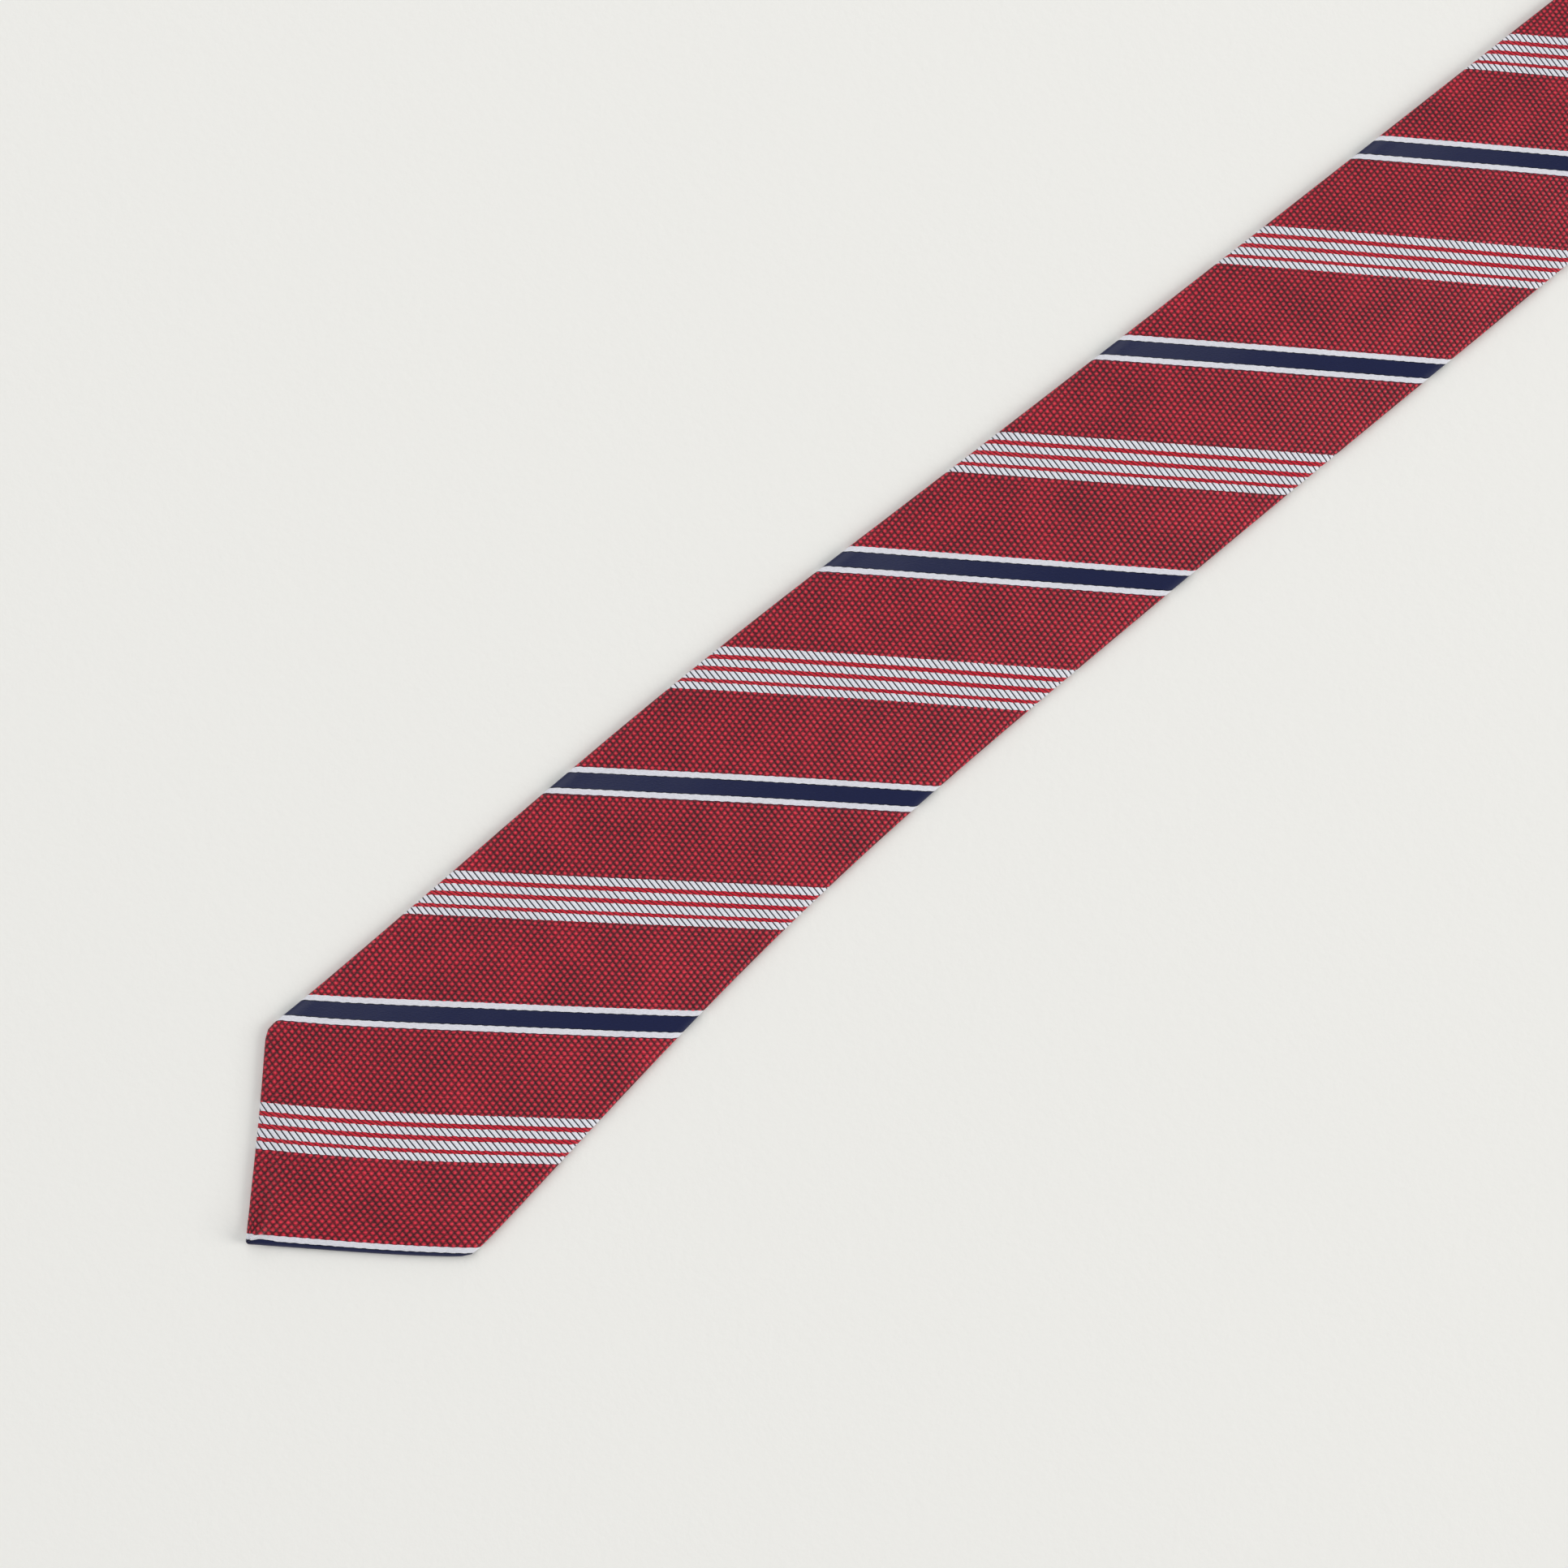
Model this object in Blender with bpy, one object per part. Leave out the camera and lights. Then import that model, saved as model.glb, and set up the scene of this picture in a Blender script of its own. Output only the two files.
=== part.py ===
"""A lined necktie lying flat, front up, with its point towards -X. Metres, +Z up.

Every place on the tie is given by s, the distance from the blade's point along the tie, and v, the
distance to the left of its centre line. lay_out() turns them into x and y on the table.
"""

import math

import bmesh
import bpy
import numpy as np

# Lengths along the tie.
LENGTH = 1.480
PIECING_SEAMS = (0.620, 1.010)  # blade to neck, neck to tail, where they cross the centre line
FOLDS = (0.350, 0.740, 1.130)
FOLD_GAP = 0.002
FOLD_AXIS_RISE = 0.001  # how far above the front the axis of a fold lies

# Widths of the tie.
BLADE_WIDTH = 0.076  # where the point's sides meet the long sides, before that corner is rounded
MID_WIDTH = 0.050
NECK_WIDTH = 0.030
TAIL_WIDTH = 0.042
TAPER_LENGTH = 0.185  # the blade narrows by a factor of e in this length
NECK_TAPER = (0.420, 0.900)
TAIL_TAPER = (1.000, 1.440)
CORNER_SOFTNESS = 0.0025

# Thicknesses.
THICKNESS = 0.0044
CLOTH = 0.0005
GAP = 0.0003  # between two pieces that touch
TIPPING_CLOTH = 0.0003
BACK_HOLLOW = 0.0015  # how far the middle of the back is raised where the loop and labels lie
HOLLOW_START = (0.095, 0.110)
HOLLOW_STOP = (0.235, 0.300)
HOLLOW_SIDES = (0.75, 0.90)  # as shares of the flat width

# The back.
HEM = 0.009
SEAM_OPENING = 0.0009
BLADE_TACK = 0.087  # distances of the bar tacks from the two ends
TAIL_TACK = 0.056
BAR_TACK_DROP = 0.006  # how far below the flaps' meeting point the bar tack lies
BAR_TACK_LENGTH = 0.0014
BAR_TACK_HEIGHTS = (0.0001, 0.0005)
THREAD_START = 0.003  # how far above the bar tacks the slip stitch begins
THREAD_HEIGHTS = (0.0001, 0.0004)  # above the back's outer face
TIPPING_PAST_TACK = 0.008
TIPPING_INSET = 0.0024  # from the outline to the lining's edge
CORE_STEP = (0.002, 0.010)  # how far past a lining the core grows to its full thickness, from and to

# The loop and labels as (from, to, half width), the heights they lie at, and their stitches.
KEEPER = (0.209, 0.221, 0.021)
KEEPER_HEIGHTS = (0.00075, 0.00115)
KEEPER_TACK_INSETS = (0.0010, 0.0024)  # from the loop's ends
KEEPER_TACK_HEIGHTS = (0.00015, 0.00045)
MAKER_LABEL = (0.145, 0.171, 0.020)
CARE_LABEL = (0.114, 0.142, 0.009)
LABEL_HEIGHTS = (0.0008, 0.00115)
STITCH = 0.0005
STITCH_INSET = 0.001  # from a label's edges
STITCH_HEIGHTS = (0.0002, 0.0005)

# Stations of the solids, as distances from an end: close together round a point, then even.
BLADE_POINT = (0.010, 0.020, 0.030, 0.036, 0.040, 0.050, 0.068, 0.087, 0.095)
TAIL_POINT = (0.010, 0.016, 0.019, 0.023, 0.032, 0.044, 0.056, 0.064)
SHELL_START = (0.0015, 0.004)
CORE_START = 0.006

# How the tie lies: its heading in degrees, and two turns as (from, to, degrees).
FIRST_HEADING = 1.9
TURNS = ((0.015, 0.065, 3.2), (0.090, 0.240, -5.1))

# Colours, as linear red, green and blue.
RED = (0.26, 0.022, 0.036)
DARK_RED = (0.16, 0.012, 0.02)
NAVY = (0.025, 0.03, 0.075)
WOOL = (0.62, 0.58, 0.50)
WHITE = (0.75, 0.75, 0.76)


def ease(low, high, x):
    """0 up to low, 1 from high on, and smooth between them."""
    t = np.clip((x - low) / (high - low), 0, 1)
    return t * t * (3 - 2 * t)


def from_end(s):
    """Distance to the nearer end."""
    return np.minimum(s, LENGTH - s)


def half_width(s):
    """Half the width: two tapers and a widening between two square points, with soft corners."""
    whole = MID_WIDTH + (BLADE_WIDTH - MID_WIDTH) * np.exp((BLADE_WIDTH / 2 - s) / TAPER_LENGTH)
    whole = whole + (NECK_WIDTH - MID_WIDTH) * ease(*NECK_TAPER, s)
    whole = whole + (TAIL_WIDTH - NECK_WIDTH) * ease(*TAIL_TAPER, s)
    point = from_end(s)
    return (whole / 2 + point - np.sqrt((whole / 2 - point) ** 2 + CORNER_SOFTNESS**2)) / 2


def edge_slant(s):
    """How much longer a distance square to the outline gets when it is measured across the tie."""
    step = 0.0005
    slope = (half_width(s + step) - half_width(s - step)) / (2 * step)
    return np.sqrt(1 + slope**2)


def heading(s):
    angle = FIRST_HEADING + sum(turn * ease(start, stop, s) for start, stop, turn in TURNS)
    return np.radians(angle)


def centre_line():
    """s, x and y along the middle of the tie, with the outline's box centred on x = 0, y = 0."""
    s = np.linspace(0, LENGTH, 2961)
    step = s[1] - s[0]
    middle = heading(s[:-1] + step / 2)
    x = np.concatenate([[0], np.cumsum(np.cos(middle)) * step])
    y = np.concatenate([[0], np.cumsum(np.sin(middle)) * step])
    across = half_width(s) * np.cos(heading(s))
    x = x - (x[0] + x[-1]) / 2
    y = y - ((y + across).max() + (y - across).min()) / 2
    return s, x, y


LINE = centre_line()


def lay_out(s, v):
    """x and y of a place on the tie."""
    x = np.interp(s, LINE[0], LINE[1]) - v * np.sin(heading(s))
    y = np.interp(s, LINE[0], LINE[2]) + v * np.cos(heading(s))
    return x, y


def back_height(s, v):
    """Height of the back's outer face above the table."""
    depth = BACK_HOLLOW * ease(*HOLLOW_START, s) * (1 - ease(*HOLLOW_STOP, s))
    inner, outer = HOLLOW_SIDES
    return depth * (1 - ease(inner, outer, np.abs(v) / flat_half(s, 0)))


def flap_edge(s):
    """Distance from the centre line to the side flaps' edges on the back.

    Round a point the hem is a narrow margin. From its corners the flaps close in a straight line
    to the bar tack, and from there on they meet in the middle.
    """
    at_blade = s < LENGTH / 2
    corner = np.where(at_blade, BLADE_WIDTH, TAIL_WIDTH) / 2
    tack = np.where(at_blade, BLADE_TACK, TAIL_TACK)
    margin = half_width(s) - HEM * edge_slant(s)
    closing = (corner - HEM) * (tack - from_end(s)) / (tack - corner)
    edge = np.maximum(np.minimum(margin, closing), SEAM_OPENING / 2)
    return np.minimum(edge, 0.6 * flat_half(s, 0))


def flat_half(s, inset):
    """Half width of the flat stretch between the rolled edges of a section, made smaller by inset."""
    width = half_width(s) - inset * edge_slant(s)
    roll = (THICKNESS / 2 - inset) * edge_slant(s)
    return np.maximum(width - roll, 0.2 * width)


def roll_point(s, turn, inset):
    """(v, z) on the rolled edge: turn goes from 0 at the top of the roll to 1 at its foot."""
    width = half_width(s) - inset * edge_slant(s)
    radius = THICKNESS / 2 - inset
    flat = flat_half(s, inset)
    fill = 1 - np.clip(1 - width / (radius * edge_slant(s)), 0, 1)
    height = radius * np.sqrt(1 - (1 - fill) ** 2)
    v = flat + (width - flat) * np.sin(math.pi * turn)
    return v, THICKNESS / 2 + height * np.cos(math.pi * turn)


# A wrapped section is a row of columns: from the right flap's edge round the front to the left flap's.
ROLL_STEPS = 5
FLAP_SHARES = (0, 0.4, *HOLLOW_SIDES, 1)
FRONT_SHARES = (-1, -0.5, 0, 0.5, 1)


def half_columns():
    """The right half of a section as (kind, share), from its flap's edge to the middle of the front."""
    flap = [("flap", share) for share in FLAP_SHARES]
    roll = [("roll", 1 - i / ROLL_STEPS) for i in range(1, ROLL_STEPS)]
    return flap + roll + [("front", share) for share in FRONT_SHARES[:3]]


def column_points(s, kind, share):
    """(v, z) at s on one column of the right half, with v counted positive."""
    flat = flat_half(s, 0)
    if kind == "roll":
        return roll_point(s, share, 0)
    if kind == "front":
        return -share * flat, roll_point(s, 0.0, 0)[1]
    edge = flap_edge(s)
    v = np.minimum(edge + (flat - edge) * share, flat)
    foot = roll_point(s, 1.0, 0)[1]
    return v, back_height(s, v) + foot


def unrolled(s, kind, share):
    """Distance from the middle of the front to a column, measured along the cloth."""
    flat = flat_half(s, 0)
    around = math.pi * THICKNESS / 2
    if kind == "front":
        return -share * flat
    if kind == "roll":
        return flat + share * around
    return flat + around + (1 - share) * flat


def shell_surface(start, stop, steps, start_seam=False, stop_seam=False):
    """Grid of points on the outside of the wrapped cloth, with steps as shares from start to stop.

    An end that is a piecing seam runs at 45 degrees across the cloth, as the panels are cut.
    """
    right = [(kind, share, -1) for kind, share in half_columns()]
    left = [(kind, share, 1) for kind, share in reversed(half_columns()[:-1])]
    rows = []
    for t in steps:
        row = []
        for kind, share, side in right + left:
            low, high = start, stop
            if start_seam:
                low = start + side * float(unrolled(start, kind, share))
            if stop_seam:
                high = stop + side * float(unrolled(stop, kind, share))
            s = low + (high - low) * t
            v, z = column_points(s, kind, share)
            x, y = lay_out(s, side * v)
            row.append((float(x), float(y), float(z)))
        rows.append(row)
    return np.array(rows)


def material(name, colour, roughness):
    made = bpy.data.materials.new(name)
    made.use_nodes = True
    shader = made.node_tree.nodes["Principled BSDF"]
    shader.inputs["Base Color"].default_value = (*colour, 1)
    shader.inputs["Roughness"].default_value = roughness
    shader.inputs["Metallic"].default_value = 0
    return made


def add_object(name, points, faces, look, hinge):
    mesh = bpy.data.meshes.new(name)
    mesh.from_pydata(points, [], faces)
    mesh.update()
    mesh.materials.append(material(name, *look))
    made = bpy.data.objects.new(name, mesh)
    bpy.context.scene.collection.objects.link(made)
    if hinge is not None:
        made.parent = hinge
        made.matrix_parent_inverse = hinge.matrix_world.inverted()
    return made


def grid_faces(rows, columns, closed=False):
    """Quads between neighbouring rows and columns. A closed grid joins its last column to its first."""
    faces = []
    for i in range(rows - 1):
        here, above = i * columns, (i + 1) * columns
        for j in range(columns if closed else columns - 1):
            k = (j + 1) % columns
            faces.append((here + j, above + j, above + k, here + k))
    return faces


def wrapped_cloth(name, surface, hinge):
    """A panel of the outer cloth: its outer face, given thickness inwards."""
    rows, columns = surface.shape[:2]
    points = [tuple(p) for p in surface.reshape(-1, 3)]
    made = add_object(name, points, grid_faces(rows, columns), (RED, 0.7), hinge)
    wall = made.modifiers.new("cloth", "SOLIDIFY")
    wall.thickness = CLOTH
    wall.offset = -1
    return made


def closed_body(name, rings, look, hinge):
    """A solid through closed rings, with its two ends capped."""
    rows, columns = rings.shape[:2]
    points = [tuple(p) for p in rings.reshape(-1, 3)]
    faces = grid_faces(rows, columns, closed=True)
    faces.append(tuple(range(columns)))
    faces.append(tuple(range((rows - 1) * columns, rows * columns)))
    made = add_object(name, points, faces, look, hinge)
    shape = bmesh.new()
    shape.from_mesh(made.data)
    bmesh.ops.recalc_face_normals(shape, faces=shape.faces)
    shape.to_mesh(made.data)
    shape.free()
    return made


def ring(s, across, heights):
    """One ring of a closed body at s, from its points' v and z."""
    x, y = lay_out(s, np.array(across, float))
    return np.stack([x, y, np.array(heights, float)], axis=-1)


def bar(name, s_range, v_range, z_range, look, hinge):
    """A flat strip: thread, label or loop."""
    across = (v_range[0], v_range[1], v_range[1], v_range[0])
    heights = (z_range[0], z_range[0], z_range[1], z_range[1])
    rings = np.array([ring(s, across, heights) for s in s_range])
    return closed_body(name, rings, look, hinge)


def filling_ring(s, under):
    """Section of the interlining: the outer section made smaller all round, and by `under` below."""
    inset = CLOTH + GAP
    roll = [roll_point(s, i / ROLL_STEPS, inset) for i in range(ROLL_STEPS + 1)]
    side = [(float(v), max(float(z), under)) for v, z in roll]
    for share in reversed(HOLLOW_SIDES):
        v = share * float(flat_half(s, 0))
        side.append((v, float(back_height(s, v)) + under))
    mirrored = [(-v, z) for v, z in reversed(side)]
    return ring(s, *zip(*(mirrored + side)))


def interlining(name, stations, hinge):
    """The wool core. Over a tipping it is thinner by the tipping's own thickness."""
    plain = CLOTH + GAP
    over_tipping = plain + TIPPING_CLOTH + GAP
    rings = []
    for s in stations:
        lined = (BLADE_TACK if s < LENGTH / 2 else TAIL_TACK) + TIPPING_PAST_TACK
        share = ease(lined + CORE_STEP[0], lined + CORE_STEP[1], from_end(s))
        rings.append(filling_ring(s, over_tipping + (plain - over_tipping) * float(share)))
    return closed_body(name, np.array(rings), (WOOL, 0.95), hinge)


def tipping(name, stations, hinge):
    """The lining behind a point: a flat pointed sheet whose edges are tucked under the hem."""
    low = CLOTH + GAP
    high = low + TIPPING_CLOTH
    rings = []
    for s in stations:
        edge = float(half_width(s) - TIPPING_INSET * edge_slant(s))
        rings.append(ring(s, (-edge, edge, edge, -edge), (low, low, high, high)))
    return closed_body(name, np.array(rings), (DARK_RED, 0.5), hinge)


def slip_stitch(name, stations, hinge):
    """The thread that closes the back, lying in the opening between the flaps."""
    half = GAP / 2
    low, high = THREAD_HEIGHTS
    rings = []
    for s in stations:
        heights = float(back_height(s, 0.0)) + np.array([low, low, high, high])
        rings.append(ring(s, (-half, half, half, -half), heights))
    return closed_body(name, np.array(rings), (DARK_RED, 0.6), hinge)


def fold_hinge(name, s, parent):
    """An empty on a fold's axis, which lies across the tie just above the front."""
    empty = bpy.data.objects.new(name, None)
    bpy.context.scene.collection.objects.link(empty)
    x, y = lay_out(s, 0.0)
    empty.location = (float(x), float(y), THICKNESS + FOLD_AXIS_RISE)
    if parent is not None:
        empty.parent = parent
        empty.matrix_parent_inverse = parent.matrix_world.inverted()
    bpy.context.view_layer.update()
    return empty


for old in list(bpy.data.objects):
    bpy.data.objects.remove(old, do_unlink=True)

fold_blade, fold_neck, fold_tail = FOLDS
seam_blade, seam_tail = PIECING_SEAMS
half_gap = FOLD_GAP / 2
seam_gap = GAP * 0.75  # a 45 degree cut keeps about 0.3 mm between the panels

hinge_blade = fold_hinge("blade_fold", fold_blade, None)
hinge_neck = fold_hinge("neck_fold", fold_neck, None)
hinge_tail = fold_hinge("tail_fold", fold_tail, hinge_neck)

# Stations along each length between folds, for the cloth, the core and the thread.
blade_end = np.array(BLADE_POINT + tuple(np.linspace(0.110, fold_blade - half_gap, 11)))
blade_middle = np.linspace(fold_blade + half_gap, fold_neck - half_gap, 16)
tail_middle = np.linspace(fold_neck + half_gap, fold_tail - half_gap, 16)
tail_distances = np.array(TAIL_POINT + tuple(np.linspace(0.085, LENGTH - fold_tail - half_gap, 11)))
tail_end = LENGTH - tail_distances[::-1]

# Outer cloth: three panels, each in two solids because it bends at a fold.
blade_stations = np.concatenate([SHELL_START, blade_end])
wrapped_cloth("blade_panel_lower", shell_surface(0, 1, blade_stations), hinge_blade)
low, high = fold_blade + half_gap, seam_blade - seam_gap
surface = shell_surface(low, high, np.linspace(0, 1, 12), stop_seam=True)
wrapped_cloth("blade_panel_upper", surface, None)
low, high = seam_blade + seam_gap, fold_neck - half_gap
surface = shell_surface(low, high, np.linspace(0, 1, 7), start_seam=True)
wrapped_cloth("neck_panel_front", surface, None)
low, high = fold_neck + half_gap, seam_tail - seam_gap
surface = shell_surface(low, high, np.linspace(0, 1, 11), stop_seam=True)
wrapped_cloth("neck_panel_rear", surface, hinge_neck)
low, high = seam_tail + seam_gap, fold_tail - half_gap
surface = shell_surface(low, high, np.linspace(0, 1, 7), start_seam=True)
wrapped_cloth("tail_panel_upper", surface, hinge_neck)
tail_stations = np.concatenate([tail_end, LENGTH - np.array(SHELL_START[::-1])])
wrapped_cloth("tail_panel_lower", shell_surface(0, 1, tail_stations), hinge_tail)

# Wool core, one solid for each length between folds.
interlining("interlining_blade_end", np.insert(blade_end, 0, CORE_START), hinge_blade)
interlining("interlining_blade_middle", blade_middle, None)
interlining("interlining_tail_middle", tail_middle, hinge_neck)
interlining("interlining_tail_end", np.append(tail_end, LENGTH - CORE_START), hinge_tail)

# Linings behind the two points.
tipping("blade_tipping", BLADE_POINT, hinge_blade)
tipping("tail_tipping", LENGTH - np.array(TAIL_POINT), hinge_tail)

# Thread that closes the back, and the bar tacks across the opening below its ends.
thread_start = BLADE_TACK + THREAD_START
thread_stop = LENGTH - TAIL_TACK - THREAD_START
slip_stitch("slip_stitch_blade_end", blade_end[blade_end > thread_start], hinge_blade)
slip_stitch("slip_stitch_blade_middle", blade_middle, None)
slip_stitch("slip_stitch_tail_middle", tail_middle, hinge_neck)
slip_stitch("slip_stitch_tail_end", tail_end[tail_end < thread_stop], hinge_tail)
for tack_name, s, hinge in (
    ("blade_bar_tack", BLADE_TACK - BAR_TACK_DROP, hinge_blade),
    ("tail_bar_tack", LENGTH - TAIL_TACK + BAR_TACK_DROP, hinge_tail),
):
    long_side = (s - BAR_TACK_LENGTH / 2, s + BAR_TACK_LENGTH / 2)
    reach = float(min(flap_edge(end) for end in long_side)) - GAP
    bar(tack_name, long_side, (-reach, reach), BAR_TACK_HEIGHTS, (RED, 0.6), hinge)

# Loop, labels and their stitches, all in the hollow of the back.
start, stop, reach = KEEPER
bar("keeper_loop", (start, stop), (-reach, reach), KEEPER_HEIGHTS, (RED, 0.7), hinge_blade)
stitched = (start + STITCH_INSET, stop - STITCH_INSET)
for side, sign in (("left", 1), ("right", -1)):
    edges = sorted(sign * (reach - inset) for inset in KEEPER_TACK_INSETS)
    bar(f"keeper_tack_{side}", stitched, edges, KEEPER_TACK_HEIGHTS, (NAVY, 0.6), hinge_blade)
start, stop, reach = MAKER_LABEL
bar("maker_label", (start, stop), (-reach, reach), LABEL_HEIGHTS, (NAVY, 0.5), hinge_blade)
stitched = (start + STITCH_INSET, stop - STITCH_INSET)
outer = reach - STITCH_INSET
for side, sign in (("left", 1), ("right", -1)):
    edges = sorted((sign * outer, sign * (outer - STITCH)))
    bar(f"maker_label_stitch_{side}", stitched, edges, STITCH_HEIGHTS, (WHITE, 0.6), hinge_blade)
start, stop, reach = CARE_LABEL
bar("care_label", (start, stop), (-reach, reach), LABEL_HEIGHTS, (WHITE, 0.5), hinge_blade)
outer = reach - STITCH_INSET
for end, s in (("lower", start + STITCH_INSET), ("upper", stop - STITCH_INSET - STITCH)):
    edges = (-outer, outer)
    bar(f"care_label_stitch_{end}", (s, s + STITCH), edges, STITCH_HEIGHTS, (RED, 0.6), hinge_blade)

for made in bpy.data.objects:
    if made.type == "MESH":
        made.data.shade_smooth()
        made.data.set_sharp_from_angle(angle=math.radians(40))
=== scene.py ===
# A lined striped necktie on a pale table: the looks of every piece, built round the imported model.
import math

import bmesh
import bpy
import numpy as np
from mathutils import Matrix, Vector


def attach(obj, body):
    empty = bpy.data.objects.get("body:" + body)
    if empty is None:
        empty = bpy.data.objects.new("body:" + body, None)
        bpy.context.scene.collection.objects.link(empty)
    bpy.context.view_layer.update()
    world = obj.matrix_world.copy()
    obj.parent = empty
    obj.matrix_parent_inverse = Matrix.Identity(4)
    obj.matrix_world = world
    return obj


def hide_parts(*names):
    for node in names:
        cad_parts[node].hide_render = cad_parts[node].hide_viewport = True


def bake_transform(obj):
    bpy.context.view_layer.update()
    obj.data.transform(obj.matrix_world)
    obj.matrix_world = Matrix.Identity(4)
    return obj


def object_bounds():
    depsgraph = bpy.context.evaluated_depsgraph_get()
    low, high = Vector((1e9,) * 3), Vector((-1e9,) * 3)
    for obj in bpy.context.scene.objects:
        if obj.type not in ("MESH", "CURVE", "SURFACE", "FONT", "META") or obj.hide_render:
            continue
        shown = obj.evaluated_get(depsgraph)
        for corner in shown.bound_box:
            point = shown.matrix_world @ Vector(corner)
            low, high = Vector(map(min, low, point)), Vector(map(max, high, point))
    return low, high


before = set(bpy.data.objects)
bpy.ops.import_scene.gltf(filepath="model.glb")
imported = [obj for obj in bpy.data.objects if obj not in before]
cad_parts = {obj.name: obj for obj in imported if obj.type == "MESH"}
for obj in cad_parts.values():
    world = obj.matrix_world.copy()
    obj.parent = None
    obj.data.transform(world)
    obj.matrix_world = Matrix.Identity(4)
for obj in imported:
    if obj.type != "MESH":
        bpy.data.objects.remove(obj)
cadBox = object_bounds()

# Places on the tie: s runs along it from the blade's point, v to the left of its middle line.
tie = {
    "length": 1.480,
    "bladeWidth": 0.076,  # where the point's sides meet the long sides
    "midWidth": 0.050,
    "neckWidth": 0.030,
    "tailWidth": 0.042,
    "taperLength": 0.185,
    "neckTaper": (0.420, 0.900),
    "tailTaper": (1.000, 1.440),
    "cornerSoftness": 0.0015,
    "seams": (0.620, 1.010),  # piecing seams between the three panels
    "folds": (0.350, 0.740, 1.130),
    "firstHeading": 1.9,  # degrees
    "turns": ((0.015, 0.065, 3.2), (0.090, 0.240, -5.1)),
    "pointLean": (-0.00125, 0.0010, 0.038),  # how the blade's point is pulled over, x, y and up to where
    "hollow": 0.0015,  # how far the middle of the back is raised under the loop and labels
    "hollowStart": (0.095, 0.110),
    "hollowStop": (0.235, 0.300),
    "hollowSides": (0.75, 0.90),
    "hem": 0.009,
    "tacks": (0.087, 0.056),  # where the side flaps meet, from the blade's and the tail's end
}
cloth = {
    "thick": 0.00042,
    "rollWidth": 0.0034,  # how far in from the outline the rolled edge starts
    "crown": 0.0019,  # how much thicker the middle is than the edges
    "leastFront": 0.2,  # share of the width that stays front at the very points
    "unevenness": 0.00010,
    "overlap": 0.0035,  # how far each side flap passes the middle of the back
    "parted": 0.0003,  # a flap's edge keeps this far from the middle before the flaps meet,
    "crossing": (0.008, 0.006),  # and crosses it from this far before that place to this far past it
    "mostFlap": 0.6,  # a hem's edge is at most this share of the front from the middle
    "airGap": 0.00012,  # between the flaps where one lies over the other
    "beside": (0.0008, 0.0035),  # the upper flap comes down beside the lower one's edge, from and to
    "bend": 0.008,  # half the length of cloth that takes part in a fold
}
thickness = cadBox[1].z - cadBox[0].z


def ease(low, high, x):
    t = np.clip((x - low) / (high - low), 0, 1)
    return t * t * (3 - 2 * t)


def fromEnd(s):
    return np.minimum(s, tie["length"] - s)


# Half width: an exponential taper, an easing down to the neck and one out to the tail, between two
# square points whose corners are rounded by a smooth minimum.
def halfWidth(s):
    widening = tie["bladeWidth"] - tie["midWidth"]
    whole = tie["midWidth"] + widening * np.exp((tie["bladeWidth"] / 2 - s) / tie["taperLength"])
    whole = whole + (tie["neckWidth"] - tie["midWidth"]) * ease(*tie["neckTaper"], s)
    whole = whole + (tie["tailWidth"] - tie["neckWidth"]) * ease(*tie["tailTaper"], s)
    point = fromEnd(s)
    return (whole / 2 + point - np.sqrt((whole / 2 - point) ** 2 + tie["cornerSoftness"] ** 2)) / 2


def outlineSlope(s):
    step = 0.0005
    return (halfWidth(s + step) - halfWidth(s - step)) / (2 * step)


def edgeSlant(s):
    return np.sqrt(1 + outlineSlope(s) ** 2)


def heading(s):
    return np.radians(tie["firstHeading"] + sum(turn * ease(a, b, s) for a, b, turn in tie["turns"]))


# The middle line on the table: the heading added up in short steps, with the outline's box centred.
def middleLine():
    s = np.linspace(0, tie["length"], 2961)
    step = s[1] - s[0]
    angle = heading(s[:-1] + step / 2)
    x = np.concatenate([[0], np.cumsum(np.cos(angle)) * step])
    y = np.concatenate([[0], np.cumsum(np.sin(angle)) * step])
    across = halfWidth(s) * np.cos(heading(s))
    return s, x - (x[0] + x[-1]) / 2, y - ((y + across).max() + (y - across).min()) / 2


line = middleLine()


def layOut(s, v):
    leanX, leanY, leanTo = tie["pointLean"]
    lean = np.clip(1 - s / leanTo, 0, 1)
    x = np.interp(s, line[0], line[1]) - v * np.sin(heading(s)) + leanX * lean
    y = np.interp(s, line[0], line[2]) + v * np.cos(heading(s)) + leanY * lean
    return x, y


# Arc length round the rolled edge, an upright half ellipse, by its angle from the top.
def rollArc(angle):
    steps = np.linspace(0, math.pi, 181)
    high = (thickness - cloth["crown"]) / 2
    across = np.diff(cloth["rollWidth"] * np.sin(steps))
    down = np.diff(high * np.cos(steps))
    arc = np.concatenate([[0], np.cumsum(np.hypot(across, down))])
    return np.interp(angle, steps, arc)


# Half width of the front between its rolled edges.
def flatHalf(s):
    width = halfWidth(s)
    return np.maximum(width - cloth["rollWidth"] * edgeSlant(s), cloth["leastFront"] * width)


# Height of the roll's half ellipse, less near the points, where the two sides' rolls meet.
def rollHeight(s):
    fill = np.clip(halfWidth(s) / (cloth["rollWidth"] * edgeSlant(s)), 0, 1)
    return (thickness - cloth["crown"]) / 2 * np.sqrt(1 - (1 - fill) ** 2)


# Slow unevenness of hand-made cloth, as a sum of sines of both places.
def unevenness(s, v):
    one = np.sin(s * 71 + v * 190 + 0.6) * np.sin(s * 33 - v * 120 + 2.1)
    two = np.sin(s * 157 - v * 260 + 1.3) * np.sin(v * 210 + s * 19)
    return 0.6 * one + 0.4 * two


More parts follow.
